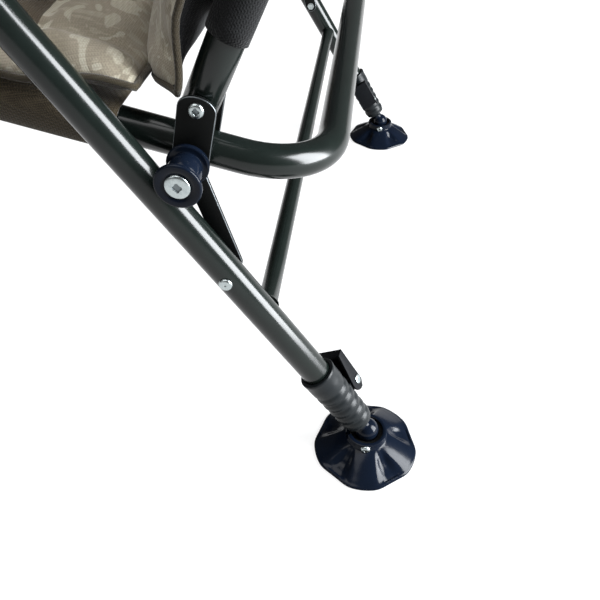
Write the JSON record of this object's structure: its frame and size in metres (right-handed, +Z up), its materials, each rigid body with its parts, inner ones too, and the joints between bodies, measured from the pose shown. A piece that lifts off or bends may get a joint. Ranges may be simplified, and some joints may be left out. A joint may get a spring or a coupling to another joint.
{
  "type": "folding fishing chair",
  "caption": "Folding carp fishing chair with panelled seat and back cushions, padded arms, bent tube frame, telescoping legs with lever clamps and round swivelling mud feet.",
  "frame": {"origin": "on the ground, under the middle of the whole chair", "axes": "+Z up; the chair faces -Y; +X is the sitter's left side"},
  "size_m": [0.7178, 0.9006, 0.8588],
  "materials": {
    "coated_tube": "dark green-black gloss coating",
    "black_steel": "satin black with thin bright edges",
    "bright_zinc": "bright zinc plating",
    "gloss_plastic": "smooth blue-black",
    "sleeve_rubber": "soft charcoal",
    "lever_plastic": "fine-grained charcoal",
    "camouflage_cloth": null,
    "brown_twill": "brown twill",
    "black_cloth": "woven black backing cloth"
  },
  "bodies": {
    "seat": {"seat_frame": "coated_tube", "seat_sling": "brown_twill", "seat_cushion": "camouflage_cloth", "bracket_plate_outer_left": "black_steel", "bracket_plate_inner_left": "black_steel", "stop_spool_left": "gloss_plastic", "stop_bolt_left": "bright_zinc", "post_bolt_left": "bright_zinc", "front_hinge_plate_left": "black_steel", "front_bolt_left": "bright_zinc", "bracket_plate_outer_right": "black_steel", "bracket_plate_inner_right": "black_steel", "stop_spool_right": "gloss_plastic", "stop_bolt_right": "bright_zinc", "post_bolt_right": "bright_zinc", "front_hinge_plate_right": "black_steel", "front_bolt_right": "bright_zinc"},
    "backrest": {"backrest_frame": "coated_tube", "backrest_sling": "black_cloth", "backrest_cushion": "camouflage_cloth"},
    "link_arms": {"link_arm_left": "black_steel", "link_arm_right": "black_steel"},
    "rear_legs": {"rear_leg_left": "coated_tube", "rear_leg_right": "coated_tube", "rear_leg_brace": "coated_tube", "arm_pad_left": "black_cloth", "arm_bolt_left": "bright_zinc", "link_rivet_left": "bright_zinc", "arm_pad_right": "black_cloth", "arm_bolt_right": "bright_zinc", "link_rivet_right": "bright_zinc", "clamp_sleeve_rear_left": "sleeve_rubber", "lever_pin_rear_left": "bright_zinc", "clamp_sleeve_rear_right": "sleeve_rubber", "lever_pin_rear_right": "bright_zinc"},
    "front_legs": {"front_leg_left": "coated_tube", "front_leg_right": "coated_tube", "front_leg_brace": "coated_tube", "clamp_sleeve_front_left": "sleeve_rubber", "lever_pin_front_left": "bright_zinc", "clamp_sleeve_front_right": "sleeve_rubber", "lever_pin_front_right": "bright_zinc"},
    "telescope_rear_left": {"inner_leg_rear_left": "sleeve_rubber"},
    "clamp_rear_left": {"clamp_lever_rear_left": "lever_plastic"},
    "foot_rear_left": {"mud_foot_rear_left": "gloss_plastic", "foot_screw_rear_left": "bright_zinc"},
    "telescope_rear_right": {"inner_leg_rear_right": "sleeve_rubber"},
    "clamp_rear_right": {"clamp_lever_rear_right": "lever_plastic"},
    "foot_rear_right": {"mud_foot_rear_right": "gloss_plastic", "foot_screw_rear_right": "bright_zinc"},
    "telescope_front_left": {"inner_leg_front_left": "sleeve_rubber"},
    "clamp_front_left": {"clamp_lever_front_left": "lever_plastic"},
    "foot_front_left": {"mud_foot_front_left": "gloss_plastic", "foot_screw_front_left": "bright_zinc"},
    "telescope_front_right": {"inner_leg_front_right": "sleeve_rubber"},
    "clamp_front_right": {"clamp_lever_front_right": "lever_plastic"},
    "foot_front_right": {"mud_foot_front_right": "gloss_plastic", "foot_screw_front_right": "bright_zinc"}
  },
  "joints": [
    {"name": "backrest_fold", "type": "hinge", "parent": "seat", "child": "backrest", "pos_m": [-0.0013, 0.19209, 0.33526], "axis": [1, 0, 0], "range_deg": [0, 80], "deforming": ["backrest_cushion", "seat_cushion"]},
    {"name": "link_swing", "type": "hinge", "parent": "seat", "child": "link_arms", "pos_m": [-0.0013, 0.18299, 0.29877], "axis": [1, 0, 0], "range_deg": [0, 56]},
    {"name": "rear_leg_fold", "type": "hinge", "parent": "link_arms", "child": "rear_legs", "pos_m": [-0.0013, 0.20541, 0.2129], "axis": [1, 0, 0], "range_deg": [0, 11.2]},
    {"name": "front_leg_fold", "type": "hinge", "parent": "seat", "child": "front_legs", "pos_m": [-0.0013, -0.21355, 0.36672], "axis": [1, 0, 0], "range_deg": [0, 93]},
    {"name": "leg_extend_rear_left", "type": "slide", "parent": "rear_legs", "child": "telescope_rear_left", "axis": [0, 0.5299, -0.848], "range_m": [0, 0.07]},
    {"name": "lever_open_rear_left", "type": "hinge", "parent": "rear_legs", "child": "clamp_rear_left", "pos_m": [0.28709, 0.29888, 0.07058], "axis": [-0.1736, -0.8352, -0.5219], "range_deg": [0, 85]},
    {"name": "foot_tilt_rear_left", "type": "hinge", "parent": "telescope_rear_left", "child": "foot_rear_left", "pos_m": [0.30895, 0.32094, 0.028], "axis": [1, 0, 0], "range_deg": [-15, 15]},
    {"name": "leg_extend_rear_right", "type": "slide", "parent": "rear_legs", "child": "telescope_rear_right", "axis": [0, 0.5299, -0.848], "range_m": [0, 0.07]},
    {"name": "lever_open_rear_right", "type": "hinge", "parent": "rear_legs", "child": "clamp_rear_right", "pos_m": [-0.28969, 0.29888, 0.07058], "axis": [-0.1736, 0.8352, 0.5219], "range_deg": [0, 85]},
    {"name": "foot_tilt_rear_right", "type": "hinge", "parent": "telescope_rear_right", "child": "foot_rear_right", "pos_m": [-0.31155, 0.32094, 0.028], "axis": [1, 0, 0], "range_deg": [-15, 15]},
    {"name": "leg_extend_front_left", "type": "slide", "parent": "front_legs", "child": "telescope_front_left", "axis": [0, -0.4848, -0.8746], "range_m": [0, 0.05]},
    {"name": "lever_open_front_left", "type": "hinge", "parent": "front_legs", "child": "clamp_front_left", "pos_m": [0.22159, -0.37476, 0.06794], "axis": [-0.1736, -0.8613, 0.4774], "range_deg": [0, 85]},
    {"name": "foot_tilt_front_left", "type": "hinge", "parent": "telescope_front_left", "child": "foot_front_left", "pos_m": [0.24345, -0.4013, 0.028], "axis": [1, 0, 0], "range_deg": [-15, 15]},
    {"name": "leg_extend_front_right", "type": "slide", "parent": "front_legs", "child": "telescope_front_right", "axis": [0, -0.4848, -0.8746], "range_m": [0, 0.05]},
    {"name": "lever_open_front_right", "type": "hinge", "parent": "front_legs", "child": "clamp_front_right", "pos_m": [-0.22419, -0.37476, 0.06794], "axis": [-0.1736, 0.8613, -0.4774], "range_deg": [0, 85]},
    {"name": "foot_tilt_front_right", "type": "hinge", "parent": "telescope_front_right", "child": "foot_front_right", "pos_m": [-0.24605, -0.4013, 0.028], "axis": [1, 0, 0], "range_deg": [-15, 15]}
  ],
  "couplings": [
    {"joint": "link_swing", "follows": "backrest_fold", "ratio": 0.7},
    {"joint": "rear_leg_fold", "follows": "backrest_fold", "ratio": 0.14}
  ]
}
